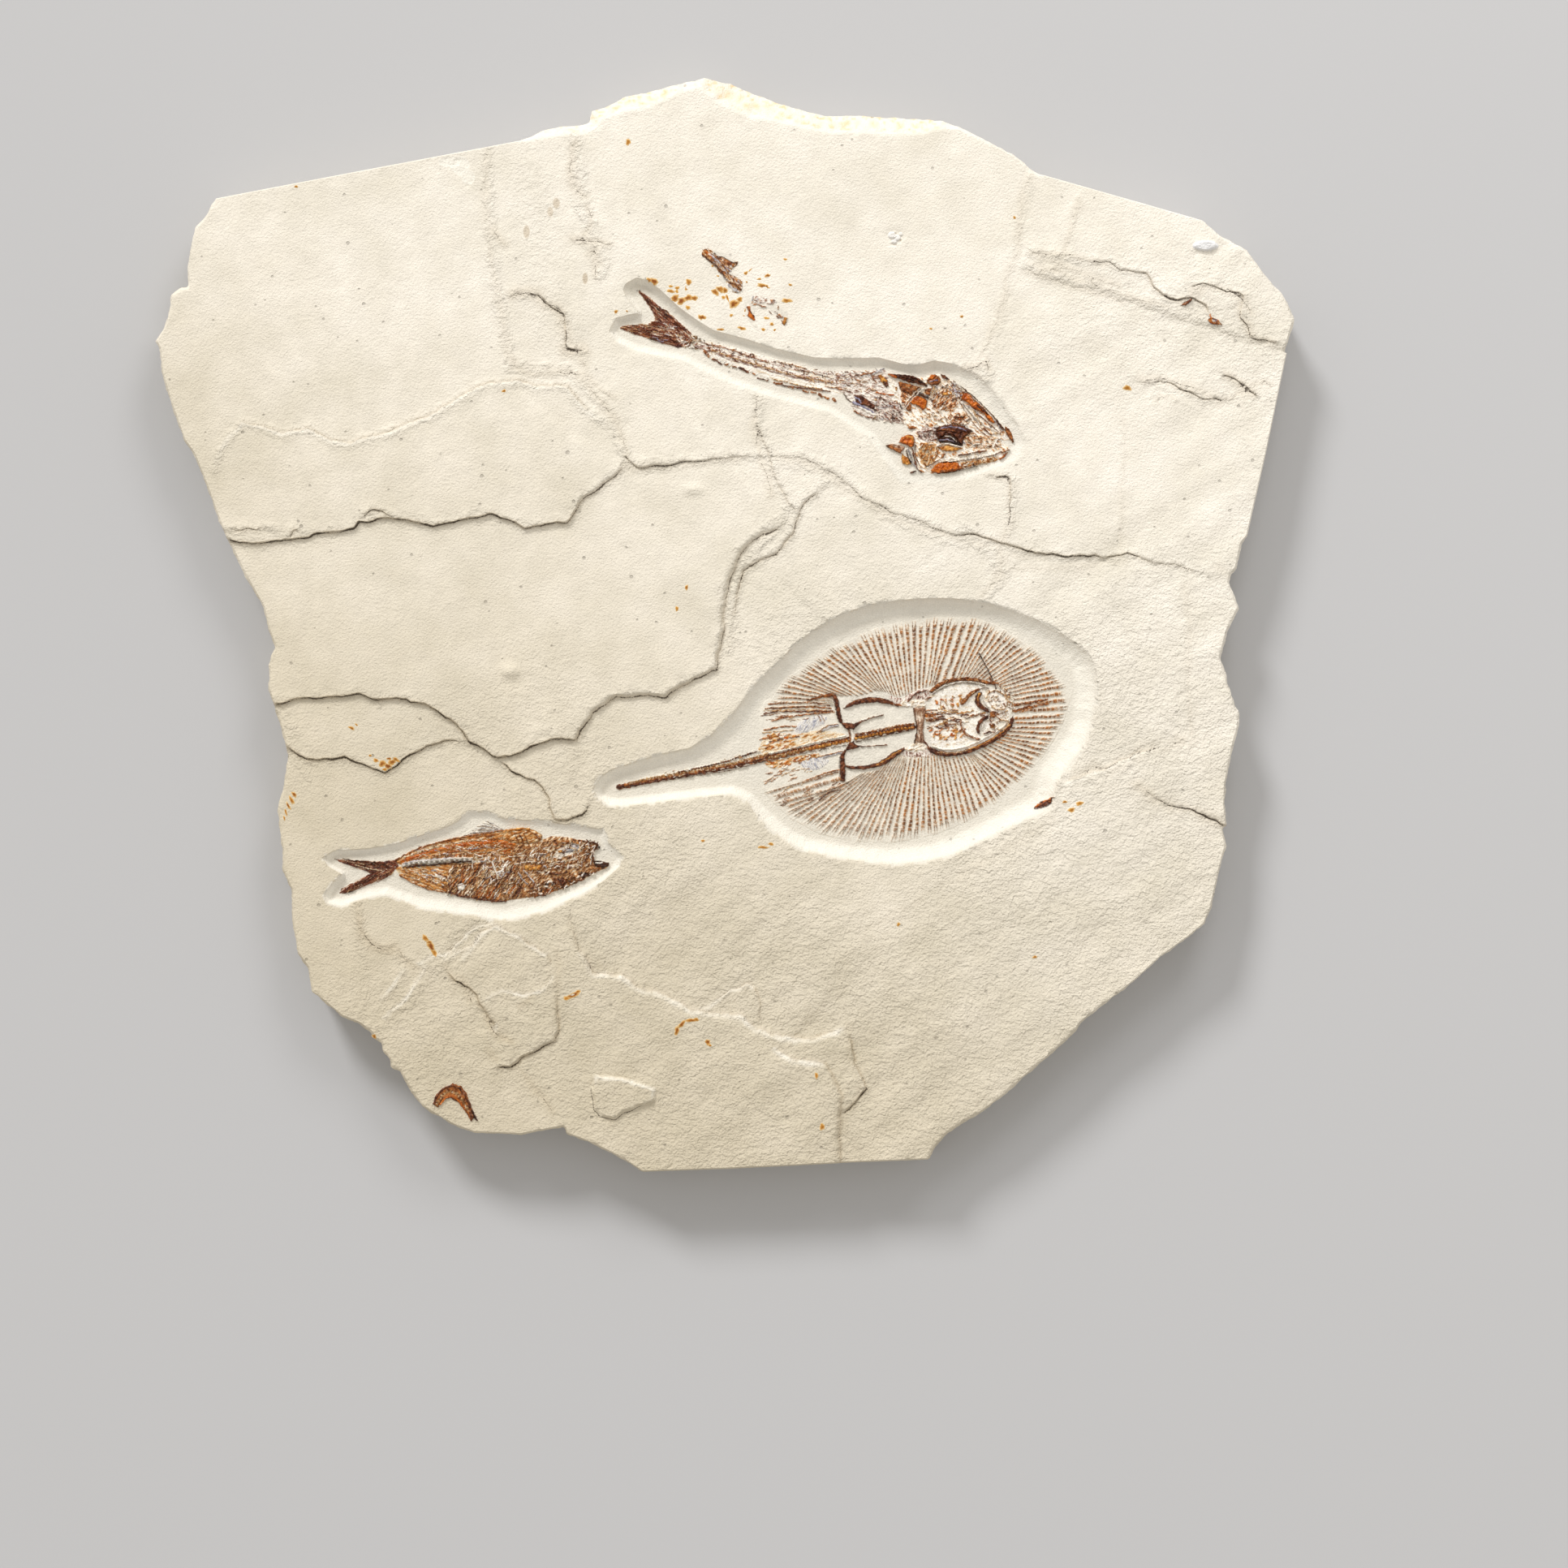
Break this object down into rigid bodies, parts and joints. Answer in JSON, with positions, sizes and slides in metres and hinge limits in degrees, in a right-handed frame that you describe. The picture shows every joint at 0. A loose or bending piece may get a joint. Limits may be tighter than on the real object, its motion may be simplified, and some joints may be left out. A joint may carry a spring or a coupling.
{
  "type": "fossil fish slab",
  "caption": "Flat slab of pale limestone with a ray, two fish and loose fossil bones left in relief by preparation.",
  "frame": {"origin": "centre of the bounding box's underside, on the slab's flat back", "axes": "+Z out of the fossil face, +Y towards the top of the face, +X to the right of the face"},
  "size_m": [0.562, 0.54, 0.0305],
  "materials": {
    "limestone": "matte, fine grained, broken and sawn",
    "ray_cartilage": "rust brown, satin",
    "long_fish_bone": "amber to maroon, glossy in places",
    "deep_fish_bone": "brown, satin",
    "small_bone": "brown, satin"
  },
  "bodies": {
    "root": {"slab": "limestone", "ray_fossil": "ray_cartilage", "long_fish_fossil": "long_fish_bone", "deep_fish_fossil": "deep_fish_bone", "curled_fish_fossil": "small_bone", "loose_jaw_bone": "small_bone", "scattered_bone": "small_bone", "crack_bone_left": "small_bone", "crack_bone_right": "small_bone", "edge_bone": "small_bone"}
  },
  "joints": []
}
